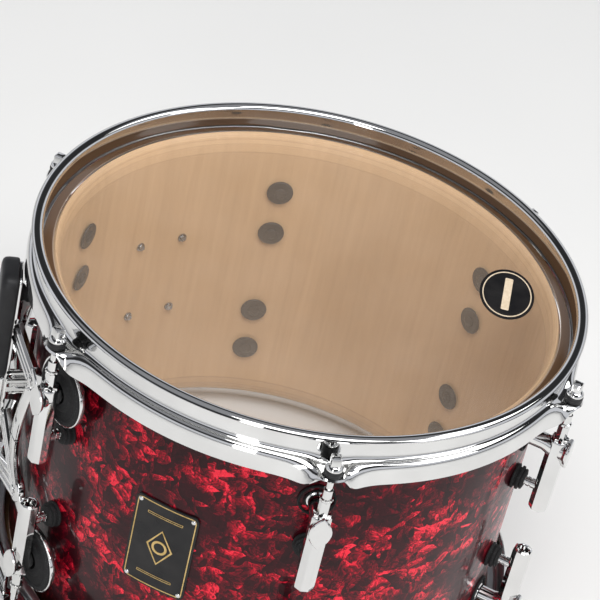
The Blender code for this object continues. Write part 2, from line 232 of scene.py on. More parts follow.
def swept(path, section_at, up):
    """A bar along path. section_at(share) gives (across, out) points, and up is the outward direction."""
    sections = []
    for i, spot in enumerate(path):
        along = (path[min(i + 1, len(path) - 1)] - path[max(i - 1, 0)]).normalized()
        across = along.cross(up).normalized()
        out = across.cross(along).normalized()
        outline = section_at(i / (len(path) - 1))
        sections.append([spot + across * a + out * o for a, o in outline])
    return lofted(sections)


def mesh_of(name, form, material, sharp=38.0):
    """A mesh in metres, with outward faces, smooth across soft edges."""
    data = bpy.data.meshes.new(name)
    work = bmesh.new()
    points = [work.verts.new(point * MM) for point in form[0]]
    for side in form[1]:
        work.faces.new([points[i] for i in side])
    bmesh.ops.remove_doubles(work, verts=work.verts, dist=1e-6)
    bmesh.ops.dissolve_degenerate(work, edges=work.edges, dist=1e-6)
    bmesh.ops.recalc_face_normals(work, faces=work.faces)
    work.to_mesh(data)
    work.free()
    data.shade_smooth()
    data.set_sharp_from_angle(angle=math.radians(sharp))
    data.materials.append(material)
    return data


def put(name, data, body="drum", matrix=None, replaces=(), bevel=0.0):
    """A piece in its place on a body. The matrix is in millimetres in the drum's frame."""
    piece = bpy.data.objects.new(name, data)
    bpy.context.scene.collection.objects.link(piece)
    spot = matrix or Matrix()
    rotation = spot.to_quaternion().to_matrix().to_4x4()
    piece.matrix_world = Matrix.Translation(DRUM + spot.to_translation() * MM) @ rotation
    if bevel:
        edge = piece.modifiers.new("edges", "BEVEL")
        edge.width = bevel * MM
        edge.segments = 2
        edge.limit_method = "ANGLE"
        edge.angle_limit = math.radians(38)
    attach(piece, body)
    if replaces:
        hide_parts(*replaces)
    return piece


def drilled(name, data, tools):
    """The mesh less the tools, as a new mesh."""
    base = bpy.data.objects.new(name, data)
    bpy.context.scene.collection.objects.link(base)
    helper = bpy.data.objects.new(name + "_tool", mesh_of(name + "_tool", joined(*tools), data.materials[0]))
    bpy.context.scene.collection.objects.link(helper)
    cut = base.modifiers.new("cut", "BOOLEAN")
    cut.operation = "DIFFERENCE"
    cut.object = helper
    bpy.context.view_layer.update()
    made = bpy.data.meshes.new_from_object(base.evaluated_get(bpy.context.evaluated_depsgraph_get()))
    made.name = name
    for used in (base, helper):
        bpy.data.objects.remove(used)
    return made


def flipped(end):
    """Takes the batter end's heights to this end."""
    if end == "batter":
        return Matrix()
    return Matrix.Translation((0, 0, -DEPTH)) @ Matrix.Rotation(math.pi, 4, "X")


def station(end, index):
    """The frame of one tension position, on the rod's axis: x points outwards, z out of that end."""
    spot = (middle_of(f"rod_washer_{end}_{index}") - DRUM) / MM
    turn = Matrix.Rotation(math.atan2(spot.y, spot.x), 4, "Z")
    if end == "resonant":
        turn = Matrix.Translation((0, 0, -DEPTH)) @ turn @ Matrix.Rotation(math.pi, 4, "X")
    return turn @ Matrix.Translation((ROD_RADIUS, 0, 0))


# ---------------------------------------------------------------- materials


class Surface:
    """A Principled material with a few helpers for its procedural nodes."""

    def __init__(self, name, colour, metallic=0.0, roughness=0.4, **more):
        self.material = bpy.data.materials.new(name)
        self.material.use_nodes = True
        self.tree = self.material.node_tree
        self.shader = self.tree.nodes["Principled BSDF"]
        values = {"Base Color": (*colour, 1.0), "Metallic": metallic, "Roughness": roughness, **more}
        for socket, value in values.items():
            self.shader.inputs[socket].default_value = value
        self.place = self.node("TexCoord").outputs["Object"]

    def node(self, kind, **inputs):
        made = self.tree.nodes.new("ShaderNode" + kind)
        for key, value in inputs.items():
            name = key.replace("_", " ")
            if isinstance(value, bpy.types.NodeSocket):
                self.tree.links.new(value, made.inputs[name])
            else:
                made.inputs[name].default_value = value
        return made

    def link(self, output, socket):
        self.tree.links.new(output, self.shader.inputs[socket])

    def stretched(self, scale, turn=(0.0, 0.0, 0.0)):
        made = self.node("Mapping", Vector=self.place, Scale=scale, Rotation=turn)
        return made.outputs["Vector"]

    def noise(self, scale, detail=2.0, vector=None, distortion=0.0, roughness=0.5):
        made = self.node(
            "TexNoise",
            Vector=vector or self.place,
            Scale=scale,
            Detail=detail,
            Distortion=distortion,
            Roughness=roughness,
        )
        return made.outputs["Fac"]

    def ramp(self, factor, stops):
        made = self.tree.nodes.new("ShaderNodeValToRGB")
        self.tree.links.new(factor, made.inputs["Fac"])
        while len(made.color_ramp.elements) < len(stops):
            made.color_ramp.elements.new(0.5)
        for element, (at, colour) in zip(made.color_ramp.elements, stops):
            element.position = at
            element.color = (*colour, 1.0)
        return made.outputs["Color"]

    def spread(self, factor, low, high, start=0.0, end=1.0):
        made = self.node("MapRange", Value=factor)
        for name, value in (("From Min", start), ("From Max", end), ("To Min", low), ("To Max", high)):
            made.inputs[name].default_value = value
        return made.outputs["Result"]

    def mixed(self, factor, first, second, blend="MIX"):
        made = self.tree.nodes.new("ShaderNodeMix")
        made.data_type = "RGBA"
        made.blend_type = blend
        for index, value in ((0, factor), (6, first), (7, second)):
            if isinstance(value, bpy.types.NodeSocket):
                self.tree.links.new(value, made.inputs[index])
            else:
                made.inputs[index].default_value = value if index == 0 else (*value, 1.0)
        return made.outputs[2]

    def wandering(self, factor, first, second):
        """Base colour that wanders between two colours as the factor does."""
        self.link(self.ramp(factor, [(0.3, first), (0.7, second)]), "Base Color")

    def maths(self, operation, first, second=0.0):
        made = self.tree.nodes.new("ShaderNodeMath")
        made.operation = operation
        for index, value in ((0, first), (1, second)):
            if isinstance(value, bpy.types.NodeSocket):
                self.tree.links.new(value, made.inputs[index])
            else:
                made.inputs[index].default_value = value
        return made.outputs[0]

    def bump(self, height, strength, distance=0.0005):
        made = self.node("Bump", Height=height, Strength=strength, Distance=distance)
        self.link(made.outputs["Normal"], "Normal")

    def radius(self):
        """Distance from the drum's axis in millimetres, for a piece that is centred on it."""
        parts = self.node("SeparateXYZ", Vector=self.place)
        across = self.maths("POWER", parts.outputs["X"], 2.0)
        along = self.maths("POWER", parts.outputs["Y"], 2.0)
        return self.maths("MULTIPLY", self.maths("SQRT", self.maths("ADD", across, along)), 1 / MM)


def chrome():
    """Polished chrome plate, unevenly bright and hazy, with a slight orange peel under the plating."""
    made = Surface("chrome_plate", (0.86, 0.865, 0.88), 1.0, 0.05)
    made.wandering(made.noise(35.0, 2.0), (0.65, 0.65, 0.645), (0.72, 0.72, 0.715))
    made.link(made.spread(made.noise(260.0, 3.0), 0.03, 0.075), "Roughness")
    made.bump(made.noise(60.0, 1.0), 0.02, 0.0004)
    return made.material


def aluminium():
    """Drawn aluminium of the flesh hoops."""
    made = Surface("brushed_aluminium", (0.72, 0.73, 0.74), 1.0, 0.3)
    streaks = made.noise(18.0, 4.0, made.stretched((1.0, 1.0, 60.0)))
    made.wandering(streaks, (0.58, 0.59, 0.61), (0.80, 0.81, 0.82))
    made.link(made.spread(streaks, 0.22, 0.4), "Roughness")
    made.bump(streaks, 0.05, 0.0003)
    return made.material


def steel():
    """Zinc-plated steel of the small screws."""
    made = Surface("plated_steel", (0.6, 0.6, 0.6), 1.0, 0.25)
    made.wandering(made.noise(400.0, 3.0), (0.24, 0.24, 0.25), (0.42, 0.42, 0.42))
    made.link(made.spread(made.noise(700.0, 2.0), 0.15, 0.35), "Roughness")
    made.bump(made.noise(900.0, 2.0), 0.1, 0.0002)
    return made.material


def black_plastic():
    """Moulded satin plastic with a fine grain."""
    made = Surface("satin_black", (0.02, 0.02, 0.022), 0.0, 0.4, **{"IOR": 1.36})
    grain = made.noise(1800.0, 2.0)
    made.wandering(made.noise(90.0, 3.0), (0.010, 0.010, 0.011), (0.020, 0.020, 0.021))
    made.link(made.spread(grain, 0.32, 0.5), "Roughness")
    made.bump(grain, 0.12, 0.0002)
    return made.material


def gloss_black():
    """Lacquered face of the badge plates and of the emblem."""
    made = Surface("gloss_black", (0.01, 0.01, 0.011), 0.0, 0.15, **{"IOR": 1.33})
    made.wandering(made.noise(60.0, 2.0), (0.007, 0.007, 0.008), (0.018, 0.017, 0.017))
    made.link(made.spread(made.noise(500.0, 3.0), 0.06, 0.16), "Roughness")
    return made.material


def rubber():
    """Matte rubber with pale specks and a rough skin."""
    made = Surface("speckled_rubber", (0.03, 0.03, 0.03), 0.0, 0.8, **{"IOR": 1.36})
    skin = made.noise(1100.0, 4.0, roughness=0.7)
    specks = [(0.35, (0.006, 0.006, 0.006)), (0.6, (0.016, 0.016, 0.017)), (0.72, (0.07, 0.07, 0.07))]
    made.link(made.ramp(skin, specks), "Base Color")
    made.link(made.spread(skin, 0.6, 0.9), "Roughness")
    made.bump(skin, 0.35, 0.0004)
    return made.material


def brass():
    """Gold-coloured print on the badges."""
    made = Surface("gold_print", (0.62, 0.43, 0.16), 1.0, 0.3)
    made.wandering(made.noise(300.0, 3.0), (0.50, 0.34, 0.12), (0.72, 0.53, 0.24))
    made.link(made.spread(made.noise(800.0, 2.0), 0.22, 0.4), "Roughness")
    return made.material


def cream():
    """Pale print on the head's mark."""
    made = Surface("cream_print", (0.62, 0.50, 0.36), 0.0, 0.35)
    made.wandering(made.noise(500.0, 3.0), (0.55, 0.44, 0.30), (0.68, 0.56, 0.42))
    made.link(made.spread(made.noise(900.0, 2.0), 0.3, 0.45), "Roughness")
    return made.material


def maple():
    """Pale varnished maple: upright grain on the walls, and thin rings of plies where the edges are cut."""
    made = Surface("maple", (0.55, 0.36, 0.21), 0.0, 0.38)
    grain = made.noise(1.0, 5.0, made.stretched((160.0, 160.0, 7.0)), distortion=0.4, roughness=0.65)
    broad = made.noise(1.0, 3.0, made.stretched((26.0, 26.0, 4.0)), distortion=0.8)
    fibre = made.noise(1.0, 2.0, made.stretched((900.0, 900.0, 25.0)))
    tans = [(0.3, (0.55, 0.36, 0.195)), (0.55, (0.59, 0.39, 0.215)), (0.8, (0.63, 0.42, 0.24))]
    colour = made.ramp(grain, tans)
    shade = made.ramp(broad, [(0.3, (0.94, 0.93, 0.92)), (0.7, (1.02, 1.01, 1.0))])
    wall = made.mixed(1.0, colour, shade, "MULTIPLY")
    thickness = 1.03
    layer = made.maths("FRACT", made.maths("DIVIDE", made.radius(), thickness))
    white = (1.0, 1.0, 1.0)
    glue = [(0.0, (0.62, 0.58, 0.54)), (0.12, white), (0.9, white), (1.0, (0.7, 0.66, 0.6))]
    ply = made.ramp(layer, glue)
    made.link(made.mixed(0.6, wall, made.mixed(1.0, wall, ply, "MULTIPLY")), "Base Color")
    made.link(made.spread(fibre, 0.3, 0.46), "Roughness")
    made.bump(fibre, 0.12, 0.0002)
    return made.material


def pearl():
    """Red pearl covering: overlapping folded flakes from near black to bright crimson under a clear gloss."""
    made = Surface(
        "red_pearl", (0.3, 0.01, 0.02), 0.0, 0.3, **{"Coat Weight": 0.28, "Coat Roughness": 0.03, "IOR": 1.2}
    )
    drift = made.node("TexNoise", Vector=made.place, Scale=45.0, Detail=2.0)
    bent = made.node("VectorMath")
    bent.operation = "MULTIPLY_ADD"
    made.tree.links.new(drift.outputs["Color"], bent.inputs[0])
    bent.inputs[1].default_value = (0.016, 0.016, 0.016)
    made.tree.links.new(made.place, bent.inputs[2])
    flakes = []
    for scale, stretch, turn in ((105.0, (0.8, 0.8, 1.7), 0.5), (190.0, (1.4, 1.4, 0.7), -0.7)):
        lean = made.node("Mapping", Vector=bent.outputs[0], Scale=stretch, Rotation=(turn, turn * 0.6, 0.0))
        cell = made.node("TexVoronoi", Vector=lean.outputs["Vector"], Scale=scale, Randomness=1.0)
        tone = made.node("SeparateColor", Color=cell.outputs["Color"])
        fold = made.node("VectorMath")
        fold.operation = "SUBTRACT"
        made.tree.links.new(lean.outputs["Vector"], fold.inputs[0])
        made.tree.links.new(cell.outputs["Position"], fold.inputs[1])
        slope = made.node("VectorMath")
        slope.operation = "DOT_PRODUCT"
        made.tree.links.new(fold.outputs[0], slope.inputs[0])
        made.tree.links.new(cell.outputs["Color"], slope.inputs[1])
        ramped = made.spread(slope.outputs["Value"], 0.0, 1.0, -0.006, 0.006)
        lit = made.maths("ADD", made.maths("MULTIPLY", ramped, 0.7), 0.3)
        flakes.append(made.maths("MULTIPLY", tone.outputs["Red"], lit))
    large, small = flakes
    light = made.maths("MAXIMUM", large, made.maths("MULTIPLY", small, 0.85))
    broad = made.spread(made.noise(30.0, 2.0), 0.35, 1.35, 0.3, 0.7)
    creases = made.spread(made.noise(330.0, 4.0, bent.outputs[0], distortion=1.6), 0.45, 1.4, 0.3, 0.7)
    value = made.maths("MULTIPLY", made.maths("MULTIPLY", light, broad), creases)
    colour = made.ramp(
        value,
        [
            (0.0, (0.010, 0.001, 0.002)),
            (0.25, (0.035, 0.001, 0.004)),
            (0.45, (0.16, 0.002, 0.010)),
            (0.62, (0.48, 0.004, 0.020)),
            (0.82, (0.95, 0.03, 0.06)),
        ],
    )
    made.link(colour, "Base Color")
    made.link(made.spread(value, 0.4, 0.25), "Roughness")
    made.link(made.spread(value, 0.1, 0.35, 0.2, 0.8), "Metallic")
    return made.material


def film():
    """Clear, slightly milky film. Past the bearing edge its collar is painted dark brown and nearly opaque:
    painted shade for the shadow under the hoop.
    """
    made = Surface("clear_film", (0.80, 0.62, 0.46), 0.0, 0.1, **{"IOR": 1.4})
    # Painted shade: beyond the bearing edge the film turns dark brown and nearly opaque, in place of the
    # shadow under the hoop.
    rim = made.spread(made.radius(), 0.0, 1.0, EDGE_RADIUS + 1.4, EDGE_RADIUS + 2.4)
    cloud = made.spread(made.noise(14.0, 3.0), 0.05, 0.08, 0.3, 0.7)
    made.link(made.mixed(rim, (0.80, 0.63, 0.49), (0.10, 0.055, 0.03)), "Base Color")
    made.link(made.maths("ADD", cloud, made.maths("MULTIPLY", rim, 0.92)), "Alpha")
    made.link(made.spread(made.noise(120.0, 3.0), 0.08, 0.14), "Roughness")
    return made.material


def pale_floor():
    """Plain studio floor."""
    made = Surface("pale_floor", (0.74, 0.735, 0.72), 0.0, 0.7)
    made.wandering(made.noise(3.0, 3.0), (0.73, 0.725, 0.71), (0.75, 0.745, 0.73))
    return made.material


CHROME, ALUMINIUM, STEEL = chrome(), aluminium(), steel()
BLACK, GLOSS, RUBBER = black_plastic(), gloss_black(), rubber()
BRASS, CREAM, MAPLE, PEARL, FILM = brass(), cream(), maple(), pearl(), film()


# ---------------------------------------------------------------- shell, covering, heads


def build_shell():
    """Maple shell, thinned to a bearing edge at both ends."""
    upper = [(BORE, -15.0), (BORE + 1.0, -8.5), (BORE + 2.6, -3.4), (EDGE_RADIUS, 0.0)]
    upper.append((SKIN_RADIUS - 0.3, -2.4))
    outline = upper + [(r, -DEPTH - z) for r, z in reversed(upper)]
    data = mesh_of("shell_maple", turned(rounded(outline, 0.5), 192), MAPLE)
    put("shell_maple", data, replaces=["shell"])


def build_wrap():
    """Pearl covering, a little thicker where its ends lap."""
    top, bottom = -3.5, 3.5 - DEPTH
    seam, lap = math.radians(47.0), math.radians(3.2)
    sections = []
    steps = 360
    for step in range(steps):
        turn = math.tau * step / steps
        raised = 0.35 if 0.0 <= turn - seam <= lap else 0.0
        outer = WRAP_RADIUS + raised
        outline = rounded([(SKIN_RADIUS, top), (outer, top), (outer, bottom), (SKIN_RADIUS, bottom)], 0.15, 2)
        sections.append([(r * math.cos(turn), r * math.sin(turn), z) for r, z in outline])
    data = mesh_of("wrap_pearl", net(sections), PEARL, sharp=30.0)
    put("wrap_pearl", data, replaces=["shell_wrap"])


def build_heads():
    """Films with two shallow ridges near the rim and a collar that dips to the flesh hoop."""
    edge, skin, tuck = EDGE_RADIUS + 0.6, 0.25, 0.25
    top = [(0.0, FILM_TOP)]
    for crest, rise, foot in ((edge - 10.4, 0.3, 0.6), (edge - 6.1, 0.25, 0.5)):
        top += [(crest - foot, FILM_TOP), (crest, FILM_TOP + rise), (crest + foot, FILM_TOP)]
    top += [(edge - 0.3, 0.5), (edge + 1.6, -0.4), (edge + 5.0, -1.6), (170.6, -2.4)]
    under = [(r - (tuck if z < 0 else 0.0), z - skin) for r, z in reversed(top)]
    data = mesh_of("film", turned(top + under, 192), FILM)
    hoop = [(168.2, -3.9), (172.0, -3.9), (173.4, -5.8), (173.4, -9.8), (168.2, -9.8)]
    band = mesh_of("flesh_band", turned(rounded(hoop, 0.7), 160), ALUMINIUM)
    for end in ENDS:
        put(f"{end}_film", data, matrix=flipped(end), replaces=[f"{end}_head_film"])
        put(f"{end}_flesh_band", band, matrix=flipped(end), replaces=[f"{end}_flesh_hoop"])


def fading(value, plateau, width):
    """1 up to the plateau, then a bell's flank that is width wide."""
    return math.exp(-((max(value - plateau, 0.0) / width) ** 2))


def hoop_section(offset):
    """Section of the pressed hoop, offset millimetres round from a rod: lip, wall, shelf and skirt.

    The skirt flares out towards each rod, and its edge rises just there into the flat ear.
    """
    away = abs(offset)
    flare, rise = fading(away, 0.0, 17.0), fading(away, 5.5, 6.5)
    level = EAR_UNDER + METAL / 2
    lip = [(177.9, 11.5), (177.2, 12.6), (175.3, 13.0), (173.4, 12.6), (172.5, 11.4)]
    last_level_point = 6
    hanging = [(172.4, 9.6), (172.35, 2.0), (172.6, -1.2), (173.5, -3.6), (175.2, -5.0)]
    hanging += [(176.9, -5.6), (178.0, -7.2), (178.4, -9.6), (178.4, -14.0), (178.3, -18.7)]
    flat = [(172.4, 9.6), (172.35, 2.0), (172.6, -1.6), (173.6, -4.9), (175.6, -7.4)]
    flat += [(178.6, level), (181.8, level), (184.8, level), (187.8, level), (190.7, level)]
    body = []
    for i, ((r, z), (ear_r, ear_z)) in enumerate(zip(hanging, flat)):
        climb = rise if i > last_level_point else 0.5 * (flare + rise)
        body.append((r + flare * (ear_r - r), z + climb * (ear_z - z)))
    return rounded(lip, 0.9, 3, closed=False) + rounded(body, 1.6, 3, closed=False)


def thickened(line, thick):
    """A closed outline round an open line, with rounded ends."""
    sides = ([], [])
    for i, (r, z) in enumerate(line):
        ahead, behind = line[min(i + 1, len(line) - 1)], line[max(i - 1, 0)]
        dr, dz = ahead[0] - behind[0], ahead[1] - behind[1]
        long = math.hypot(dr, dz)
        for side, sign in zip(sides, (1, -1)):
            side.append((r - sign * dz / long * thick / 2, z + sign * dr / long * thick / 2))
    start = (line[0][0] - line[1][0], line[0][1] - line[1][1])
    finish = (line[-1][0] - line[-2][0], line[-1][1] - line[-2][1])
    noses = []
    for (r, z), (dr, dz) in ((line[-1], finish), (line[0], start)):
        long = math.hypot(dr, dz)
        noses.append((r + dr / long * thick * 0.35, z + dz / long * thick * 0.35))
    return [*sides[0], noses[0], *reversed(sides[1]), noses[1]]


def build_hoops():
    """Both hoops, with fine steps round each ear and coarse ones between, and a hole in each ear."""
    sections = []
    step_turn = math.tau / LUG_COUNT
    reach = ROD_RADIUS * step_turn / 2
    fine, coarse = 46, 14
    half = [0.8 * i for i in range(fine + 1)]
    shaped = half[-1]
    half += [shaped + (reach - shaped) * i / coarse for i in range(1, coarse)]
    whole = [-x for x in reversed(half[1:])] + half + [reach]
    for index in range(LUG_COUNT):
        for offset in whole:
            turn = step_turn * index + offset / ROD_RADIUS
            outline = thickened(hoop_section(offset), METAL)
            sections.append([(r * math.cos(turn), r * math.sin(turn), z) for r, z in outline])
    tools = []
    for index in range(LUG_COUNT):
        at = Matrix.Rotation(step_turn * index, 4, "Z") @ Matrix.Translation((ROD_RADIUS, 0, 0))
        tools.append(moved(lofted([ring(3.6, 25, z) for z in (-13.0, -4.0)]), at))
    data = drilled("hoop_chrome", mesh_of("hoop_chrome", net(sections), CHROME, sharp=50.0), tools)
    data.shade_smooth()
    data.set_sharp_from_angle(angle=math.radians(50))
    for end in ENDS:
        put(f"{end}_hoop_chrome", data, matrix=flipped(end), replaces=[f"{end}_hoop"])


# ---------------------------------------------------------------- rods, washers, lugs


def threaded(inner, outer, start, count):
    """Outline of a thread's ridges, one pitch apart, down from a height."""
    ridges = []
    for i in range(count):
        ridges += [(inner, start - PITCH * i), (outer, start - PITCH * (i + 0.5))]
    return ridges


def rod_mesh():
    """Tension rod: crowned square key, conical collar, plain shank, thread."""
    half = KEY_HALF
    square = rounded([(-half, -half), (half, -half), (half, half), (-half, half)], 0.5, 2)
    rows = ((2.0, 1.04), (2.8, 1.0), (8.1, 0.97), (8.7, 0.86), (9.15, 0.6))
    key = lofted([[(x * share, y * share, z) for x, y in square] for z, share in rows])
    crown = rounded([(0.0, 0.0), (5.4, 0.0), (5.5, 1.3), (4.3, 2.9), (3.2, 3.5), (0.0, 3.6)], 0.35, 2)
    start, count = -17.5, 48
    tip = start - PITCH * count
    shank = [(0.0, 0.8), (2.35, 0.8), (2.35, -17.0), *threaded(2.1, 2.42, start, count)]
    shank += [(2.0, tip), (0.0, tip)]
    return mesh_of("rod", joined(key, turned(crown, 40), turned(shank, 24)), CHROME, sharp=30.0)


def washer_mesh():
    """Washer with a groove round its lower half."""
    outline = [(3.3, 0.0), (5.2, 0.0), (5.7, -0.6), (5.7, -2.2), (5.4, -2.5), (5.6, -2.9), (5.6, -4.0)]
    outline.append((3.3, -4.0))
    return mesh_of("washer", turned(rounded(outline, 0.25, 2), 40), BLACK)


def pointed_oval(count):
    """An oval that stands on its point, reaching one to each side, up and down."""
    points = []
    for side in (1, -1):
        for step in range(count):
            height = (-1 + 2 * step / count) * side
            points.append((side * (1 - abs(height) ** 2.1), height))
    return points


def toothed(outer, inner, count):
    """A round outline whose points lie in turn on two radii."""
    points = []
    for i in range(count):
        turn, reach = math.tau * i / count, (outer if i % 2 else inner)
        points.append((reach * math.cos(turn), reach * math.sin(turn)))
    return points


def lug_swivel():
    """Octagonal tube, its neck with a star lock, and the sleeve that takes the rod."""
    tube = [(4.9, -96.3), (6.1, -95.6), (6.5, -93.4), (6.5, -39.6), (5.9, -38.6), (4.0, -38.4), (4.0, -40.0)]
    tube.append((4.0, -94.6))
    sleeve = [(2.55, -18.4), (3.0, -18.4), (3.1, -24.6), (3.9, -25.0), (4.1, -25.7), (3.9, -26.6)]
    sleeve += [(3.4, -26.8), (3.4, -27.0), (2.55, -27.0)]
    neck = [(2.55, -27.0), (3.5, -27.2), (3.65, -28.0), (3.65, -38.5), (2.55, -38.5)]
    star = prism(toothed(5.6, 4.0, 16), -38.6, -36.8, 0.35)
    notches = prism(toothed(4.3, 3.8, 24), -26.5, -25.1, 0.3)
    octagon = moved(turned(tube, 8), Matrix.Rotation(math.pi / 8, 4, "Z"))
    return joined(octagon, turned(sleeve, 32), turned(neck, 8), star, notches)


def lug_post():
    """Round post that flares into an end plate with a pointed top and bottom."""
    count = 20
    circle = [(math.sin(math.pi * i / count), -math.cos(math.pi * i / count)) for i in range(2 * count)]
    plate_drop = 1.6
    sections = []
    for x, share, wide, tall in (
        (SEAT, 0.0, 6.4, 6.4),
        (SEAT + 0.8, 0.0, 6.6, 6.6),
        (SEAT + 1.4, 0.0, 5.7, 5.7),
        (-9.0, 0.0, 5.6, 5.6),
        (-6.5, 0.3, 5.7, 6.6),
        (-4.0, 0.75, 5.9, 8.2),
        (4.6, 0.8, 6.1, 8.4),
        (5.9, 0.9, 6.3, 9.8),
        (6.5, 1.0, 6.7, 11.4),
        (7.0, 1.0, 6.9, 11.9),
        (8.2, 1.0, 6.9, 11.9),
        (8.8, 1.0, 6.4, 11.3),
        (9.1, 1.0, 5.0, 9.4),
    ):
        row = []
        for (cy, cz), (oy, oz) in zip(circle, pointed_oval(count)):
            y, z = cy + share * (oy - cy), cz + share * (oz - cz)
            row.append((x, wide * y, POST - plate_drop * share + tall * z))
        sections.append(row)
    return lofted(sections)


def lug_pin():
    """Round lower pin with three grooves near the tube."""
    outline = [(PIN_BAR, SEAT + 1.0)]
    for x in (-15.0, -12.0, -9.0):
        outline += [(PIN_BAR, x - 0.5), (2.7, x - 0.3), (2.7, x + 0.3), (PIN_BAR, x + 0.5)]
    outline.append((PIN_BAR, -5.2))
    return moved(bar(outline, 28), Matrix.Translation((0, 0, PIN)))


def lug_mesh():
    """Tube lug with its post, its pin and the two screws that hold them through the shell."""
    forms = [lug_swivel(), lug_post(), lug_pin()]
    for height in (POST, PIN):
        screw = bar([(2.4, INNER_FACE - 0.4), (2.4, SEAT + 2.0)], 16)
        forms.append(moved(screw, Matrix.Translation((0, 0, height))))
    return mesh_of("lug", joined(*forms), CHROME, sharp=33.0)


def gasket_forms(gasket):
    """Rubber between a lug and the shell: a grooved bush round the pin and, if gasket, a ring and its lip."""
    forms = []
    if gasket:
        lip = [(10.2, -0.3), (11.8, -0.3), (11.8, 0.9), (11.2, 1.5), (10.3, 0.9)]
        base = [(6.7, -0.1), (7.8, -0.1), (7.6, 0.7), (6.7, 0.9)]
        for outline in (lip, base):
            round_post = along_x(turned(rounded([(r, SEAT + x) for r, x in outline], 0.3, 2), 48))
            forms.append(moved(round_post, Matrix.Translation((0, 0, POST))))
    bush = [(3.4, 0.0), (8.4, 0.0), (8.4, 1.4), (6.6, 1.9), (6.6, 2.8), (8.0, 3.2), (8.0, 4.6), (6.4, 5.0)]
    bush += [(6.4, 5.5), (7.0, 5.8), (6.8, 6.8), (4.8, 7.4), (3.4, 7.4)]
    round_pin = along_x(turned(rounded([(r, SEAT + x) for r, x in bush], 0.25, 2), 40))
    forms.append(moved(round_pin, Matrix.Translation((0, 0, PIN))))
    return joined(*forms)


def inner_washers():
    """Large washers inside the shell, each with the black dome of its screw."""
    face = INNER_FACE
    outline = [(2.5, face), (9.3, face), (9.3, face - 0.9), (8.6, face - 1.5), (2.5, face - 1.6)]
    dome = bar([(4.4, face - 0.9), (4.3, face - 2.2), (3.2, face - 3.0), (1.2, face - 3.4)], 24)
    forms = []
    for height in (POST, PIN):
        down = Matrix.Translation((0, 0, height))
        forms += [moved(along_x(turned(rounded(outline, 0.3, 2), 40)), down), moved(dome, down)]
    return mesh_of("inner_washers", joined(*forms), BLACK)


def build_tension():
    """Lugs, rods and washers at all twelve places. The posts next to the mount sit on its isolators."""
    rod, washer, lug = rod_mesh(), washer_mesh(), lug_mesh()
    with_gasket = mesh_of("lug_gasket", gasket_forms(True), RUBBER)
    bush_only = mesh_of("lug_bush", gasket_forms(False), RUBBER)
    washers = inner_washers()
    for end in ENDS:
        for index in range(1, LUG_COUNT + 1):
            at = station(end, index)
            name = f"{end}_{index}"
            tension_rod, rod_washer = f"tension_rod_{name}", f"rod_washer_{name}"
            rubber_form = bush_only if index in (1, LUG_COUNT) else with_gasket
            seat = at @ Matrix.Translation((0, 0, COLLAR))
            under = at @ Matrix.Translation((0, 0, COLLAR - 0.3))
            put(f"lug_chrome_{name}", lug, matrix=at, replaces=[f"lug_{name}"])
            put(f"lug_rubber_{name}", rubber_form, matrix=at)
            put(f"lug_inner_washers_{name}", washers, matrix=at)
            put(f"rod_chrome_{name}", rod, tension_rod, seat, [tension_rod])
            put(f"washer_black_{name}", washer, rod_washer, under, [rod_washer])


# ---------------------------------------------------------------- badges, vent, emblem


def dense(outline, most=2.5):
    """The outline with its long sides split, so that it can bend."""
    made = []
    for i, (x, y) in enumerate(outline):
        nx, ny = outline[(i + 1) % len(outline)]
        parts = max(1, round(math.dist((x, y), (nx, ny)) / most))
        made += [(x + (nx - x) * k / parts, y + (ny - y) * k / parts) for k in range(parts)]
    return made


def bent(points):
    """Points of (round, up, proud) millimetres laid on the covering."""
    laid = []
    for x, y, proud in points:
        turn, reach = x / WRAP_RADIUS, WRAP_RADIUS + proud
        laid.append(Vector((reach * math.cos(turn), reach * math.sin(turn), y)))
    return laid


def frame_ring(outline, inset, high):
    """A raised line on the badge's face that follows an outline, inset wide."""
    low = BADGE_FACE
    wide = max(abs(x) for x, y in outline)
    tall = max(abs(y) for x, y in outline)
    inner = [(x * (1 - inset / wide), y * (1 - inset / tall)) for x, y in outline]
    points, faces = net([[(*o, low), (*o, high), (*i, high), (*i, low)] for o, i in zip(outline, inner)])
    return bent(points), faces


def badge_plate(corner, low, high):
    """A badge's plate with rounded corners, built as upright strips so that it follows the shell's curve."""
    half_wide, half_tall = BADGE
    edge, count = 0.3, 24
    sections = []
    for step in range(count + 1):
        x = -half_wide + 2 * half_wide * step / count
        over = max(abs(x) - (half_wide - corner), 0.0)
        reach = half_tall - corner + math.sqrt(max(corner**2 - over**2, 0.0))
        lower = [(x, -reach, low), (x, -reach, high - edge), (x, edge - reach, high)]
        sections.append(bent(lower + [(x, -y, z) for x, y, z in reversed(lower)]))
    return lofted(sections)


def badge_fixings(form, radius):
    """The form, built along the vertical axis, at a badge's four fixings and pointing out from the drum."""
    across, up = BADGE_FIXINGS
    forms = []
    for x in (-across, across):
        for y in (-up, up):
            turn = Matrix.Rotation(x / WRAP_RADIUS, 4, "Z") @ Matrix.Translation((radius, 0, y))
            forms.append(moved(along_x(form), turn))
    return joined(*forms)


def badge_marks():
    """Generic marks of a badge: a border, two bars, and a diamond round a ring."""
    border = dense(rounded([(-20, -32.5), (20, -32.5), (20, 32.5), (-20, 32.5)], 3.0))
    diamond = dense([(0.0, -14.0), (9.0, 0.0), (0.0, 14.0), (-9.0, 0.0)])
    circle = [(5.2 * math.cos(math.tau * i / 32), 5.2 * math.sin(math.tau * i / 32)) for i in range(32)]
    marks = [frame_ring(border, 0.7, 1.62), frame_ring(diamond, 1.3, 1.7), frame_ring(circle, 1.6, 1.75)]
    for height in (-24.0, 24.0):
        low, high = height - 0.7, height + 0.7
        marks.append(frame_ring(dense([(-12.0, low), (12.0, low), (12.0, high), (-12.0, high)]), 0.4, 1.62))
    return joined(*marks)


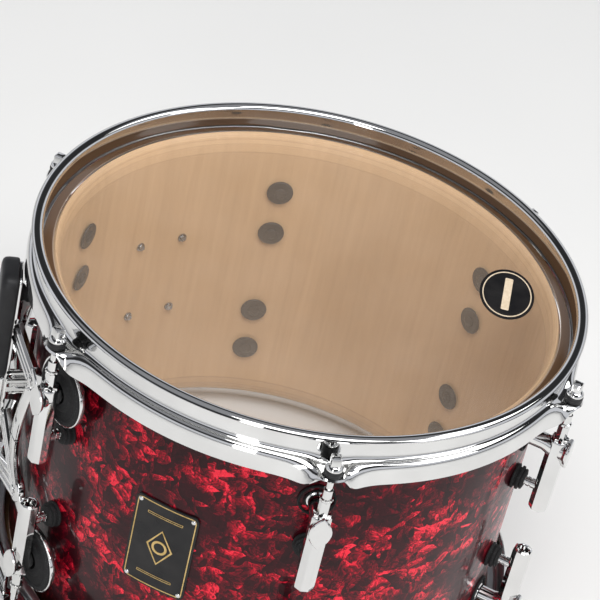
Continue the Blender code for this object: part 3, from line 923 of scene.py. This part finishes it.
def build_badges():
    """Two badges, with rivets outside and nuts inside the shell."""
    dome = turned(rounded([(0.0, 0.8), (1.7, 0.8), (1.6, 2.0), (0.9, 2.5), (0.0, 2.55)], 0.3, 2), 20)
    flange = turned(rounded([(0.0, 1.4), (3.2, 1.4), (3.2, -0.9), (0.0, -0.9)], 0.3, 2), 24)
    stud = lofted([ring(2.2, 6, z) for z in (-2.6, -0.6)])
    plate = mesh_of("badge_plate", badge_plate(3.0, 0.35, BADGE_FACE + 0.05), GLOSS)
    marks = mesh_of("badge_mark", badge_marks(), BRASS)
    rivets = mesh_of("badge_rivets", badge_fixings(dome, WRAP_RADIUS), CHROME)
    nuts = mesh_of("badge_nuts", badge_fixings(joined(flange, stud), BORE), STEEL)
    for side in ("left", "right"):
        spot = middle_of(f"badge_{side}") - DRUM
        at = Matrix.Translation((0, 0, HALF)) @ Matrix.Rotation(math.atan2(spot.y, spot.x), 4, "Z")
        put(f"badge_{side}_plate", plate, matrix=at, replaces=[f"badge_{side}"])
        put(f"badge_{side}_mark", marks, matrix=at)
        put(f"badge_{side}_rivets", rivets, matrix=at)
        put(f"badge_{side}_nuts", nuts, matrix=at)


def build_vent():
    """Flanged grommet through the shell, half way down, opposite the mount."""
    outer = [(4.6, -9.5), (4.6, 1.4), (6.0, 2.2), (9.0, 1.3), (9.6, 0.3), (6.0, 0.2), (5.8, -9.5)]
    flange = [(4.7, -9.4), (8.8, -9.0), (8.8, -8.2), (4.7, -8.2)]
    form = along_x(joined(turned(rounded(outer, 0.4, 2), 40), turned(rounded(flange, 0.3, 2), 40)))
    at = Matrix.Rotation(math.radians(90), 4, "Z") @ Matrix.Translation((WRAP_RADIUS, 0, HALF))
    put("vent_grommet", mesh_of("vent_grommet", form, CHROME), matrix=at)


def build_emblem():
    """Plain oval mark printed on the batter film: a dark field with a pale line and band."""
    spot = Matrix.Translation(HEAD_MARK) @ Matrix.Rotation(HEAD_MARK_TURN, 4, "Z")
    wide, tall, count = 28.0, 18.0, 72
    low, face, high = FILM_TOP + 0.02, FILM_TOP + 0.11, FILM_TOP + 0.17

    def ellipse(share):
        turns = [math.tau * i / count for i in range(count)]
        return [(wide * share * math.cos(turn), tall * share * math.sin(turn)) for turn in turns]

    field = prism(ellipse(1.0), low, face, 0.02, 1)
    put("head_mark_field", mesh_of("head_mark_field", field, GLOSS), matrix=spot)
    rings = zip(ellipse(0.90), ellipse(0.86))
    loops = [[(*o, face), (*o, high), (*i, high), (*i, face)] for o, i in rings]
    band = [(-18.0, -2.6), (18.0, -2.6), (18.0, 2.6), (-18.0, 2.6)]
    lines = joined(net(loops), prism(rounded(band, 1.0, 3), face, high, 0.02, 1))
    put("head_mark_lines", mesh_of("head_mark_lines", lines, CREAM), matrix=spot)


# ---------------------------------------------------------------- mount


def rib_section(share):
    """Three rounded ridges on a flat cast bar, a little slimmer half way along."""
    waist = 1.0 - 0.08 * math.sin(math.pi * share)
    half = 8.2 * waist
    section = [(half, -2.5), (half, 1.0)]
    for centre in (5.5 * waist, 0.0, -5.5 * waist):
        section += [(centre + 2.2, 0.8), (centre + 1.3, 2.8), (centre, 3.3)]
        section += [(centre - 1.3, 2.8), (centre - 2.2, 0.8)]
    return section + [(-half, 1.0), (-half, -2.5)]


def strap_section(half, thick, taper=0.0):
    """Section of a flat strap with rounded edges, slimmer half way along by taper."""

    def at(share):
        wide = half * (1.0 - taper * math.sin(math.pi * share))
        flat = [(-wide, -thick / 2), (wide, -thick / 2), (wide, thick / 2), (-wide, thick / 2)]
        return rounded(flat, 0.6, 2)

    return at


def line_of(start, end, count=10):
    return [start.lerp(end, i / count) for i in range(count + 1)]


def arm_forms(side, level):
    """One corner of the mount, in the drum's frame: knee, neck, ribbed arm and brace, side strap."""

    def spot(x, y, height):
        return Vector((side * x, y, HALF + level * (height - HALF)))

    turn = -math.pi / 2 + side * math.pi / LUG_COUNT
    ring_out = Vector((math.cos(turn), math.sin(turn), 0.0))
    ring_at = ring_out * RING_LEVEL + spot(0, 0, POST)
    knee_at = spot(50.0, -166.0, POST - 24.0)
    knee_out = Vector((knee_at.x, knee_at.y, 0.0)).normalized()
    facing = knee_out.to_track_quat("Z", "Y").to_matrix().to_4x4()
    boss = [(0.0, -2.9), (8.4, -2.9), (9.0, -2.2), (9.0, 1.5), (8.2, 2.6), (4.6, 3.0), (4.2, 2.4), (0.0, 2.4)]
    knee = moved(turned(rounded(boss, 0.4, 2), 40), Matrix.Translation(knee_at) @ facing)
    head = turned(rounded([(0.0, 2.0), (2.9, 2.0), (2.8, 4.0), (0.0, 4.3)], 0.4, 2), 24)
    screw = moved(head, Matrix.Translation(knee_at) @ facing)
    towards = (ring_at - knee_at).normalized()
    neck_end = ring_at - towards * (RING_RADIUS - 1.3)
    neck = swept(line_of(knee_at, neck_end, 8), strap_section(6.0, 4.4, 0.15), knee_out)
    reach = PLATE_HALF + 0.3
    arm_end = 1.3 - PLATE_FACE
    out = (knee_out + Vector((0, -1, 0))).normalized()
    ends = [spot(reach, arm_end, height) for height in (-61.0, -102.0)]
    bars = [swept(line_of(knee_at, end), rib_section, out) for end in ends]
    bow = []
    count = 12
    for step in range(count + 1):
        share = step / count
        height = knee_at.z + share * (HALF + level * 0.45 - knee_at.z)
        bulge = 1.0 + 0.04 * math.sin(share * math.pi / 2)
        bow.append(Vector((knee_at.x * bulge, knee_at.y * bulge, height)))
    strap = swept(bow, strap_section(4.5, 3.6), knee_out)
    return joined(knee, screw, neck, *bars, strap), ring_at, turn


def build_arms():
    """Four arms, each with its isolator's ring and rubber disc."""
    band = [(RING_INNER, -1.7), (RING_RADIUS, -1.7), (RING_RADIUS, 1.7), (RING_INNER, 1.7)]
    loop = mesh_of("isolator_ring", along_x(turned(rounded(band, 0.6, 3), 72)), CHROME)
    hole, rim = 6.9, 21.5
    disc = [(hole, -3.2), (20.4, -3.2), (rim, -2.0), (rim, 2.0), (20.4, 3.2), (18.6, 3.2), (17.8, 2.4)]
    disc += [(12.6, 2.4), (11.8, 3.2), (9.6, 3.7), (hole, 3.7)]
    cushion = mesh_of("isolator_disc", along_x(turned(rounded(disc, 0.35, 2), 64)), RUBBER)
    for level, high in ((1, "upper"), (-1, "lower")):
        for side, hand in ((1, "right"), (-1, "left")):
            form, ring_at, turn = arm_forms(side, level)
            name = f"{high}_{hand}"
            data = mesh_of(f"arm_{name}", form, CHROME, sharp=35.0)
            put(f"arm_chrome_{name}", data, replaces=[f"mount_arm_{name}"], bevel=0.25)
            at = Matrix.Translation(ring_at) @ Matrix.Rotation(turn, 4, "Z")
            put(f"isolator_ring_{name}", loop, matrix=at)
            put(f"isolator_disc_{name}", cushion, matrix=at, replaces=[f"isolator_{name}"])


def slab_outline(half, low, high, corner):
    return rounded([(-half, low), (half, low), (half, high), (-half, high)], corner, 6)


def facing_mount(form):
    """Turns a slab built over (across, height) so that it stands on the mount's side of the drum."""
    points, faces = form
    return [Vector((x, -z, y)) for x, y, z in points], faces


def heights_of(node):
    low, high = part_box(node)
    return (low.z - DRUM.z) / MM, (high.z - DRUM.z) / MM


def build_plate():
    """Plate that joins the arms, with three domed bolts."""
    low, high = heights_of("mount_plate")
    plate = facing_mount(prism(slab_outline(PLATE_HALF, low, high, 4.0), PLATE_FACE, PLATE_OUT, 0.5))
    bolts = []
    for height in (-42.0, -90.0, -186.0):
        dome = rounded([(0.0, -1.0), (4.2, -1.0), (4.0, 1.6), (2.4, 2.6), (0.0, 2.7)], 0.4, 2)
        back = Matrix.Translation((0, -PLATE_FACE, height)) @ Matrix.Rotation(-math.pi / 2, 4, "X")
        bolts.append(moved(turned(dome, 28), back))
    data = mesh_of("plate_chrome", joined(plate, *bolts), CHROME)
    put("plate_chrome", data, replaces=["mount_plate"])


def build_pad():
    """Black pad with its outer rim well rounded."""
    low, high = heights_of("mount_pad")
    half = size_of("mount_pad").x / 2
    face = COLUMN_FACE
    thick = size_of("mount_pad").y
    rows = [(0.0, 0.94), (0.5, 0.985), (1.6, 1.0), (thick - 4.5, 1.0), (thick - 2.2, 0.975)]
    rows += [(thick - 0.8, 0.92), (thick, 0.8)]
    outline = slab_outline(half, low, high, 9.0)
    centre = (low + high) / 2
    sections = []
    for depth, share in rows:
        inset = (1 - share) * half
        tall = (high - low) / 2
        sections.append(
            [(x * share, -(face + depth), centre + (z - centre) * (1 - inset / tall)) for x, z in outline]
        )
    put("pad_black", mesh_of("pad_black", lofted(sections), BLACK), replaces=["mount_pad"])


def build_bumper():
    """Rubber bumper with two grooves."""
    low, high = heights_of("mount_bumper")
    near, far = reach_of("mount_bumper", 1), reach_of("mount_bumper", 0)
    half = size_of("mount_bumper").x / 2
    centre = (low + high) / 2
    steps = [(0.0, 0.86), (0.08, 1.0), (0.3, 1.0), (0.36, 0.88), (0.44, 0.88), (0.5, 1.0), (0.7, 1.0)]
    steps += [(0.76, 0.88), (0.84, 0.88), (0.9, 1.0), (1.0, 0.96)]
    rows = []
    for share, scale in steps:
        y = -(near + share * (far - near))
        outline = slab_outline(half, low, high, 2.5)
        rows.append([(x * scale, y, centre + (z - centre) * scale) for x, z in outline])
    put("bumper_rubber", mesh_of("bumper_rubber", lofted(rows), RUBBER), replaces=["mount_bumper"])


def build_column():
    """Clamp column with the blind socket for the tom arm and the cross hole for the wing screw."""
    low, high = heights_of("clamp_column")
    half = size_of("clamp_column").x / 2
    block = facing_mount(prism(slab_outline(half, low, high, 3.2), COLUMN_FACE, COLUMN_OUT, 1.2, 3))
    body = mesh_of("column_body", block, CHROME)
    socket = lofted([ring(SOCKET_RADIUS, 48, z) for z in (low - 3.0, low + SOCKET_DEPTH)])
    socket = moved(socket, Matrix.Translation((0, -SOCKET_REACH, 0)))
    cross = lofted([ring(3.4, 32, y) for y in (SOCKET_REACH, COLUMN_OUT + 4.0)])
    cross = moved(cross, Matrix.Translation((0, 0, SCREW_LEVEL)) @ Matrix.Rotation(math.pi / 2, 4, "X"))
    column = drilled("column_chrome", body, [socket, cross])
    column.shade_smooth()
    column.set_sharp_from_angle(angle=math.radians(40))
    put("column_chrome", column, replaces=["clamp_column"])


def build_screw():
    """Wing screw and its washer on the column's face."""
    outward = Matrix.Rotation(math.pi / 2, 4, "X")
    face = reach_of("clamp_washer", 0)
    outline = rounded([(3.4, 0.0), (6.8, 0.0), (7.0, -0.3), (7.0, -1.6), (3.4, -1.6)], 0.3, 2)
    data = mesh_of("screw_washer", turned(outline, 48), CHROME)
    at = Matrix.Translation((0, -face, SCREW_LEVEL)) @ outward
    put("screw_washer", data, "clamp_washer", at, ["clamp_washer"])
    at = Matrix.Translation((0, -0.3, 0)) @ at
    put("wing_chrome", wing_mesh(), "wing_screw", at, ["wing_screw"])


def wing_mesh():
    """Hub with two rounded wings and a threaded shank."""
    hub = [(0.0, 0.0), (5.6, 0.0), (6.0, 0.5), (5.8, 5.5), (4.8, 8.0), (2.6, 9.2), (0.0, 9.4)]
    shank = [(0.0, 0.8), (2.6, 0.8)]
    reach = size_of("wing_screw").y - 16.0
    shank += threaded(2.45, 2.85, 0.0, int(reach) - 1)
    shank += [(2.2, -reach), (0.0, -reach)]
    wings = []
    for side in (1, -1):
        rows = []
        for step in range(15):
            share = step / 14
            x = 3.0 + 16.0 * share
            centre = 4.6 + 6.6 * share**1.4
            half = 2.6 + 2.2 * math.sin(math.pi * min(share * 0.62, 1.0)) if share < 1 else 2.2
            half *= math.sqrt(max(1 - max(share - 0.72, 0.0) ** 2 / 0.0785, 0.02))
            thick = 1.9 - 0.5 * share
            loop = []
            for i in range(20):
                turn = math.tau * i / 20
                loop.append((side * x, thick * math.sin(turn), centre + half * math.cos(turn)))
            rows.append(loop)
        wings.append(lofted(rows))
    form = joined(turned(rounded(hub, 0.4, 2), 40), turned(shank, 28), *wings)
    return mesh_of("wing_screw_fine", form, CHROME)


# ---------------------------------------------------------------- stage: floor, lights, camera


def build_floor():
    """Wide plain floor just below the lower hoop."""
    side = 15.0
    height = cad_low.z - 0.0005
    data = bpy.data.meshes.new("floor")
    corners = [(-side, -side), (side, -side), (side, side), (-side, side)]
    data.from_pydata([(x, y, height) for x, y in corners], [], [(0, 1, 2, 3)])
    data.materials.append(pale_floor())
    floor = bpy.data.objects.new("floor", data)
    bpy.context.scene.collection.objects.link(floor)


def area(name, azimuth, elevation, distance, size, power, mirrored=True):
    """A soft box that faces the drum. One that isn't mirrored leaves no patch on the chrome."""
    lamp = bpy.data.lights.new(name, "AREA")
    lamp.shape = "RECTANGLE"
    lamp.size, lamp.size_y = size
    lamp.energy = power
    obj = bpy.data.objects.new(name, lamp)
    turn, lift = math.radians(azimuth), math.radians(elevation)
    back = Vector((math.sin(turn) * math.cos(lift), -math.cos(turn) * math.cos(lift), math.sin(lift)))
    obj.location = DRUM + back * distance
    obj.rotation_euler = back.to_track_quat("Z", "Y").to_euler()
    obj.visible_glossy = mirrored
    bpy.context.scene.collection.objects.link(obj)


# The studio's brightness by the sine of the elevation: a bright band low down under a dark ceiling
SKY = ((0.0, 0.3), (0.05, 0.3), (0.08, 1.3), (0.4, 1.3), (0.47, 0.07), (0.72, 0.05), (0.78, 0.5), (1.0, 0.6))


def build_lights():
    """A soft world, four area lights and one wide sun."""
    world = bpy.data.worlds.new("studio")
    bpy.context.scene.world = world
    world.use_nodes = True
    tree = world.node_tree
    place = tree.nodes.new("ShaderNodeTexCoord")
    parts = tree.nodes.new("ShaderNodeSeparateXYZ")
    ramp = tree.nodes.new("ShaderNodeValToRGB")
    tree.links.new(place.outputs["Generated"], parts.inputs["Vector"])
    tree.links.new(parts.outputs["Z"], ramp.inputs["Fac"])
    while len(ramp.color_ramp.elements) < len(SKY):
        ramp.color_ramp.elements.new(0.5)
    for element, (at, grey) in zip(ramp.color_ramp.elements, SKY):
        element.position = at
        element.color = (grey * 0.96, grey * 0.98, grey * 1.04, 1.0)
    tree.links.new(ramp.outputs["Color"], tree.nodes["Background"].inputs["Color"])
    tree.nodes["Background"].inputs["Strength"].default_value = 0.6

    area("key", 60, 66, 1.6, (1.0, 0.7), 15, mirrored=False)
    area("fill", 145, 36, 1.8, (0.8, 0.8), 8)
    area("back", -170, 52, 1.8, (1.0, 0.6), 6)
    area("strip", 70, 12, 1.5, (0.2, 1.2), 3)
    sun = bpy.data.lights.new("sky", "SUN")
    sun.energy, sun.angle = 1.5, math.radians(40)
    sky = bpy.data.objects.new("sky", sun)
    sky.rotation_euler = (math.radians(26), 0.0, math.radians(100))
    bpy.context.scene.collection.objects.link(sky)


def build_camera():
    """Camera above the badge's side, rolled a little."""
    azimuth, elevation, roll = math.radians(77.66), math.radians(35.54), math.radians(13.53)
    distance, across = 1.4998, Vector((0.0293, -0.0087, 0.0))
    level = math.cos(elevation)
    back = Vector((math.sin(azimuth) * level, -math.cos(azimuth) * level, math.sin(elevation)))
    camera = bpy.data.cameras.new("camera")
    camera.lens, camera.sensor_width = 143.87, 36.0
    obj = bpy.data.objects.new("camera", camera)
    obj.location = DRUM + across + back * distance
    obj.rotation_mode = "QUATERNION"
    obj.rotation_quaternion = back.to_track_quat("Z", "Y") @ Quaternion((0, 0, 1), roll)
    camera.clip_start, camera.clip_end = 0.05, 50.0
    bpy.context.scene.collection.objects.link(obj)
    bpy.context.scene.camera = obj


# The plain view keeps the red and the chrome as deep as their materials say
bpy.context.scene.view_settings.view_transform = "Standard"
build_shell()
build_wrap()
build_heads()
build_hoops()
build_tension()
build_badges()
build_vent()
build_emblem()
build_arms()
build_plate()
build_pad()
build_bumper()
build_column()
build_screw()
build_floor()
build_lights()
build_camera()
